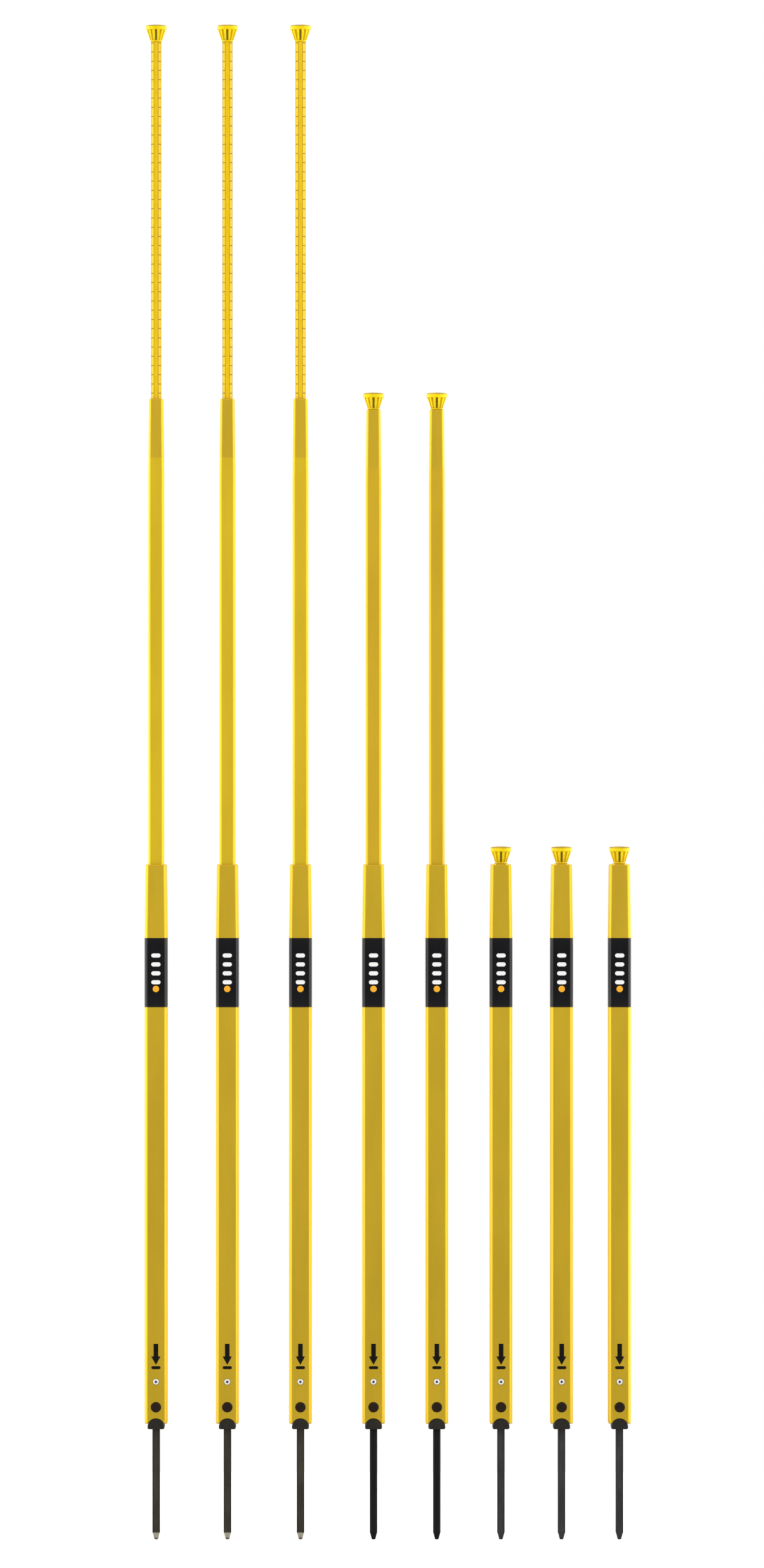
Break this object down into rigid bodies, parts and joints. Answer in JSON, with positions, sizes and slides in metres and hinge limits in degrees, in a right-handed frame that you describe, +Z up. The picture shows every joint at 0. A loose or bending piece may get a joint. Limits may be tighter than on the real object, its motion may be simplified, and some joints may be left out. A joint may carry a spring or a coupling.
{
  "type": "weave poles",
  "caption": "Telescoping yellow poles with square tubes, octagonal top rods, flared ribbed caps and steel ground spikes, standing in a row at different heights.",
  "frame": {"origin": "at ground level on the row's centre plane: z = 0 is the underside of the base plugs' knuckles, where the turf's surface meets them, and y = 0 runs through every pole's axis", "axes": "+Z up along the poles, +X along the row towards the collapsed poles, fronts with the release buttons face -Y"},
  "size_m": [0.5454, 0.0262, 1.7005],
  "materials": {
    "tube_plastic": "yellow, semi-gloss",
    "rod_plastic": "bright yellow, semi-gloss",
    "cap_plastic": "bright yellow, semi-gloss",
    "black_plastic": "black, satin",
    "button_plastic": "black, satin",
    "worn_steel": "dark coated steel, worn bright at the tip",
    "black_steel": "black coated steel",
    "grey_steel": "dark grey coated steel"
  },
  "bodies": {
    "pole_1_lower": {"pole_1_lower_tube": "tube_plastic", "pole_1_base_plug": "black_plastic", "pole_1_ground_spike": "worn_steel"},
    "pole_1_middle": {"pole_1_middle_tube": "tube_plastic"},
    "pole_1_upper": {"pole_1_upper_rod": "rod_plastic", "pole_1_end_cap": "cap_plastic"},
    "pole_1_button": {"pole_1_release_button": "button_plastic"},
    "pole_2_lower": {"pole_2_lower_tube": "tube_plastic", "pole_2_base_plug": "black_plastic", "pole_2_ground_spike": "worn_steel"},
    "pole_2_middle": {"pole_2_middle_tube": "tube_plastic"},
    "pole_2_upper": {"pole_2_upper_rod": "rod_plastic", "pole_2_end_cap": "cap_plastic"},
    "pole_2_button": {"pole_2_release_button": "button_plastic"},
    "pole_3_lower": {"pole_3_lower_tube": "tube_plastic", "pole_3_base_plug": "black_plastic", "pole_3_ground_spike": "worn_steel"},
    "pole_3_middle": {"pole_3_middle_tube": "tube_plastic"},
    "pole_3_upper": {"pole_3_upper_rod": "rod_plastic", "pole_3_end_cap": "cap_plastic"},
    "pole_3_button": {"pole_3_release_button": "button_plastic"},
    "pole_4_lower": {"pole_4_lower_tube": "tube_plastic", "pole_4_base_plug": "black_plastic", "pole_4_ground_spike": "black_steel"},
    "pole_4_middle": {"pole_4_middle_tube": "tube_plastic"},
    "pole_4_upper": {"pole_4_upper_rod": "rod_plastic", "pole_4_end_cap": "cap_plastic"},
    "pole_4_button": {"pole_4_release_button": "button_plastic"},
    "pole_5_lower": {"pole_5_lower_tube": "tube_plastic", "pole_5_base_plug": "black_plastic", "pole_5_ground_spike": "black_steel"},
    "pole_5_middle": {"pole_5_middle_tube": "tube_plastic"},
    "pole_5_upper": {"pole_5_upper_rod": "rod_plastic", "pole_5_end_cap": "cap_plastic"},
    "pole_5_button": {"pole_5_release_button": "button_plastic"},
    "pole_6_lower": {"pole_6_lower_tube": "tube_plastic", "pole_6_base_plug": "black_plastic", "pole_6_ground_spike": "grey_steel"},
    "pole_6_middle": {"pole_6_middle_tube": "tube_plastic"},
    "pole_6_upper": {"pole_6_upper_rod": "rod_plastic", "pole_6_end_cap": "cap_plastic"},
    "pole_6_button": {"pole_6_release_button": "button_plastic"},
    "pole_7_lower": {"pole_7_lower_tube": "tube_plastic", "pole_7_base_plug": "black_plastic", "pole_7_ground_spike": "grey_steel"},
    "pole_7_middle": {"pole_7_middle_tube": "tube_plastic"},
    "pole_7_upper": {"pole_7_upper_rod": "rod_plastic", "pole_7_end_cap": "cap_plastic"},
    "pole_7_button": {"pole_7_release_button": "button_plastic"},
    "pole_8_lower": {"pole_8_lower_tube": "tube_plastic", "pole_8_base_plug": "black_plastic", "pole_8_ground_spike": "grey_steel"},
    "pole_8_middle": {"pole_8_middle_tube": "tube_plastic"},
    "pole_8_upper": {"pole_8_upper_rod": "rod_plastic", "pole_8_end_cap": "cap_plastic"},
    "pole_8_button": {"pole_8_release_button": "button_plastic"}
  },
  "joints": [
    {"name": "pole_1_middle_slide", "type": "slide", "parent": "pole_1_lower", "child": "pole_1_middle", "axis": [0, 0, 1], "range_m": [-0.5215, 0]},
    {"name": "pole_1_upper_slide", "type": "slide", "parent": "pole_1_middle", "child": "pole_1_upper", "axis": [0, 0, 1], "range_m": [-0.401, 0]},
    {"name": "pole_1_button_press", "type": "slide", "parent": "pole_1_lower", "child": "pole_1_button", "axis": [0, 1, 0], "range_m": [0, 0.0026], "stiffness_N_per_m": 900, "springref_m": -0.002},
    {"name": "pole_2_lift_out", "type": "slide", "parent": "pole_1_lower", "child": "pole_2_lower", "axis": [0, 0, 1], "range_m": [0, 0.15]},
    {"name": "pole_2_middle_slide", "type": "slide", "parent": "pole_2_lower", "child": "pole_2_middle", "axis": [0, 0, 1], "range_m": [-0.5215, 0]},
    {"name": "pole_2_upper_slide", "type": "slide", "parent": "pole_2_middle", "child": "pole_2_upper", "axis": [0, 0, 1], "range_m": [-0.401, 0]},
    {"name": "pole_2_button_press", "type": "slide", "parent": "pole_2_lower", "child": "pole_2_button", "axis": [0, 1, 0], "range_m": [0, 0.0026], "stiffness_N_per_m": 900, "springref_m": -0.002},
    {"name": "pole_3_lift_out", "type": "slide", "parent": "pole_1_lower", "child": "pole_3_lower", "axis": [0, 0, 1], "range_m": [0, 0.15]},
    {"name": "pole_3_middle_slide", "type": "slide", "parent": "pole_3_lower", "child": "pole_3_middle", "axis": [0, 0, 1], "range_m": [-0.5215, 0]},
    {"name": "pole_3_upper_slide", "type": "slide", "parent": "pole_3_middle", "child": "pole_3_upper", "axis": [0, 0, 1], "range_m": [-0.401, 0]},
    {"name": "pole_3_button_press", "type": "slide", "parent": "pole_3_lower", "child": "pole_3_button", "axis": [0, 1, 0], "range_m": [0, 0.0026], "stiffness_N_per_m": 900, "springref_m": -0.002},
    {"name": "pole_4_lift_out", "type": "slide", "parent": "pole_1_lower", "child": "pole_4_lower", "axis": [0, 0, 1], "range_m": [0, 0.15]},
    {"name": "pole_4_middle_slide", "type": "slide", "parent": "pole_4_lower", "child": "pole_4_middle", "axis": [0, 0, 1], "range_m": [-0.5095, 0.012]},
    {"name": "pole_4_upper_slide", "type": "slide", "parent": "pole_4_middle", "child": "pole_4_upper", "axis": [0, 0, 1], "range_m": [0, 0.401]},
    {"name": "pole_4_button_press", "type": "slide", "parent": "pole_4_lower", "child": "pole_4_button", "axis": [0, 1, 0], "range_m": [0, 0.0026], "stiffness_N_per_m": 900, "springref_m": -0.002},
    {"name": "pole_5_lift_out", "type": "slide", "parent": "pole_1_lower", "child": "pole_5_lower", "axis": [0, 0, 1], "range_m": [0, 0.15]},
    {"name": "pole_5_middle_slide", "type": "slide", "parent": "pole_5_lower", "child": "pole_5_middle", "axis": [0, 0, 1], "range_m": [-0.5095, 0.012]},
    {"name": "pole_5_upper_slide", "type": "slide", "parent": "pole_5_middle", "child": "pole_5_upper", "axis": [0, 0, 1], "range_m": [0, 0.401]},
    {"name": "pole_5_button_press", "type": "slide", "parent": "pole_5_lower", "child": "pole_5_button", "axis": [0, 1, 0], "range_m": [0, 0.0026], "stiffness_N_per_m": 900, "springref_m": -0.002},
    {"name": "pole_6_lift_out", "type": "slide", "parent": "pole_1_lower", "child": "pole_6_lower", "axis": [0, 0, 1], "range_m": [0, 0.15]},
    {"name": "pole_6_middle_slide", "type": "slide", "parent": "pole_6_lower", "child": "pole_6_middle", "axis": [0, 0, 1], "range_m": [0, 0.5215]},
    {"name": "pole_6_upper_slide", "type": "slide", "parent": "pole_6_middle", "child": "pole_6_upper", "axis": [0, 0, 1], "range_m": [0, 0.401]},
    {"name": "pole_6_button_press", "type": "slide", "parent": "pole_6_lower", "child": "pole_6_button", "axis": [0, 1, 0], "range_m": [0, 0.0026], "stiffness_N_per_m": 900, "springref_m": -0.002},
    {"name": "pole_7_lift_out", "type": "slide", "parent": "pole_1_lower", "child": "pole_7_lower", "axis": [0, 0, 1], "range_m": [0, 0.15]},
    {"name": "pole_7_middle_slide", "type": "slide", "parent": "pole_7_lower", "child": "pole_7_middle", "axis": [0, 0, 1], "range_m": [0, 0.5215]},
    {"name": "pole_7_upper_slide", "type": "slide", "parent": "pole_7_middle", "child": "pole_7_upper", "axis": [0, 0, 1], "range_m": [0, 0.401]},
    {"name": "pole_7_button_press", "type": "slide", "parent": "pole_7_lower", "child": "pole_7_button", "axis": [0, 1, 0], "range_m": [0, 0.0026], "stiffness_N_per_m": 900, "springref_m": -0.002},
    {"name": "pole_8_lift_out", "type": "slide", "parent": "pole_1_lower", "child": "pole_8_lower", "axis": [0, 0, 1], "range_m": [0, 0.15]},
    {"name": "pole_8_middle_slide", "type": "slide", "parent": "pole_8_lower", "child": "pole_8_middle", "axis": [0, 0, 1], "range_m": [0, 0.5215]},
    {"name": "pole_8_upper_slide", "type": "slide", "parent": "pole_8_middle", "child": "pole_8_upper", "axis": [0, 0, 1], "range_m": [0, 0.401]},
    {"name": "pole_8_button_press", "type": "slide", "parent": "pole_8_lower", "child": "pole_8_button", "axis": [0, 1, 0], "range_m": [0, 0.0026], "stiffness_N_per_m": 900, "springref_m": -0.002}
  ]
}
